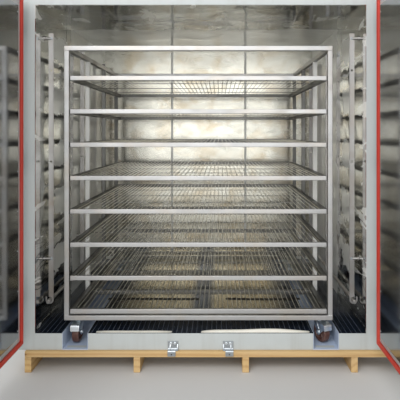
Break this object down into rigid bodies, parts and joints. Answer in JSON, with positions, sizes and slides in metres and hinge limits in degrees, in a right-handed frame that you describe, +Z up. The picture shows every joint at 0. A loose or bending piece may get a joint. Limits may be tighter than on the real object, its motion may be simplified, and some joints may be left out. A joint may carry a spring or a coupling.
{
  "type": "industrial oven",
  "caption": "Walk-in industrial oven with two swing doors, a shelf trolley on casters in floor channels, roof fans and a control cabinet, on a timber pallet.",
  "frame": {"origin": "centre of the underside of the pallet's middle bearer, on the ground", "axes": "+Z up, +Y from the doors to the back of the oven, +X to the right seen from the front"},
  "size_m": [2.779, 3.215, 2.896],
  "materials": {
    "pine": "rough sawn softwood",
    "body_paint": "pale grey satin powder coat",
    "channel_paint": "blue-grey satin paint",
    "bright_lining": "bright stainless sheet",
    "guide_steel": "satin stainless bar",
    "zinc": "zinc-plated steel",
    "silicone": "red silicone rubber",
    "trolley_steel": "stainless tube, handled",
    "caster_zinc": "bright zinc-plated pressing",
    "wheel_resin": "brown heat-proof resin",
    "motor_paint": "dark grey machine enamel",
    "stack_steel": "rolled stainless sheet",
    "plinth_paint": "dark grey paint",
    "black_plastic": "black moulded plastic"
  },
  "bodies": {
    "oven": {"pallet_bearers": "pine", "pallet_deck_boards": "pine", "right_wall": "body_paint", "left_wall": "body_paint", "back_wall": "body_paint", "roof_panel": "body_paint", "floor_left_block": "body_paint", "floor_right_block": "body_paint", "floor_centre_block": "body_paint", "fan_plenum": "body_paint", "control_cabinet": "body_paint", "cabinet_door": "body_paint", "wheel_channels": "channel_paint", "floor_lining": "bright_lining", "left_wall_lining": "bright_lining", "right_wall_lining": "bright_lining", "back_wall_lining": "bright_lining", "ceiling_lining": "bright_lining", "right_trolley_guide": "guide_steel", "left_trolley_guide": "guide_steel", "door_keepers": "zinc", "right_hinge_mounts": "zinc", "left_hinge_mounts": "zinc", "fan_motors": "motor_paint", "exhaust_stack": "stack_steel", "cabinet_plinth": "plinth_paint", "control_fittings": "black_plastic"},
    "left_door": {"left_door_panel": "body_paint", "left_door_lining": "bright_lining", "left_door_hinge_arms": "zinc", "left_door_lock_rod": "zinc", "left_door_gasket": "silicone"},
    "right_door": {"right_door_panel": "body_paint", "right_door_lining": "bright_lining", "right_door_hinge_arms": "zinc", "right_door_lock_rod": "zinc", "right_door_gasket": "silicone"},
    "trolley": {"trolley_base_frame": "trolley_steel", "trolley_posts": "trolley_steel", "trolley_top_frame": "trolley_steel", "trolley_side_runners": "trolley_steel", "trolley_lower_shelves": "trolley_steel", "trolley_upper_shelves": "trolley_steel", "front_caster_plates": "caster_zinc", "rear_caster_forks": "caster_zinc"},
    "left_caster": {"front_left_fork": "caster_zinc"},
    "right_caster": {"front_right_fork": "caster_zinc"},
    "left_front_roller": {"front_left_wheel": "wheel_resin"},
    "right_front_roller": {"front_right_wheel": "wheel_resin"},
    "left_rear_roller": {"rear_left_wheel": "wheel_resin"},
    "right_rear_roller": {"rear_right_wheel": "wheel_resin"}
  },
  "joints": [
    {"name": "left_door_hinge", "type": "hinge", "parent": "oven", "child": "left_door", "pos_m": [-1.372, -1.0825, 1.25], "axis": [0, 0, -1], "range_deg": [-90, 90]},
    {"name": "right_door_hinge", "type": "hinge", "parent": "oven", "child": "right_door", "pos_m": [0.828, -1.0825, 1.25], "axis": [0, 0, 1], "range_deg": [-90, 90]},
    {"name": "trolley_roll_out", "type": "slide", "parent": "oven", "child": "trolley", "axis": [0, -1, 0], "range_m": [0, 1.7]},
    {"name": "left_caster_swivel", "type": "hinge", "parent": "trolley", "child": "left_caster", "pos_m": [-1.048, -0.8675, 0.27], "axis": [0, 0, 1], "range_deg": [-15, 22]},
    {"name": "right_caster_swivel", "type": "hinge", "parent": "trolley", "child": "right_caster", "pos_m": [0.472, -0.8675, 0.27], "axis": [0, 0, 1], "range_deg": [-37, 0]},
    {"name": "left_front_wheel_spin", "type": "hinge", "parent": "left_caster", "child": "left_front_roller", "pos_m": [-1.048, -0.9025, 0.1968], "axis": [1, 0, 0], "continuous": true},
    {"name": "right_front_wheel_spin", "type": "hinge", "parent": "right_caster", "child": "right_front_roller", "pos_m": [0.48511, -0.89995, 0.1968], "axis": [0.9272, 0.3746, 0], "continuous": true},
    {"name": "left_rear_wheel_spin", "type": "hinge", "parent": "trolley", "child": "left_rear_roller", "pos_m": [-1.048, 0.4555, 0.1968], "axis": [1, 0, 0], "continuous": true},
    {"name": "right_rear_wheel_spin", "type": "hinge", "parent": "trolley", "child": "right_rear_roller", "pos_m": [0.472, 0.4555, 0.1968], "axis": [1, 0, 0], "continuous": true}
  ]
}
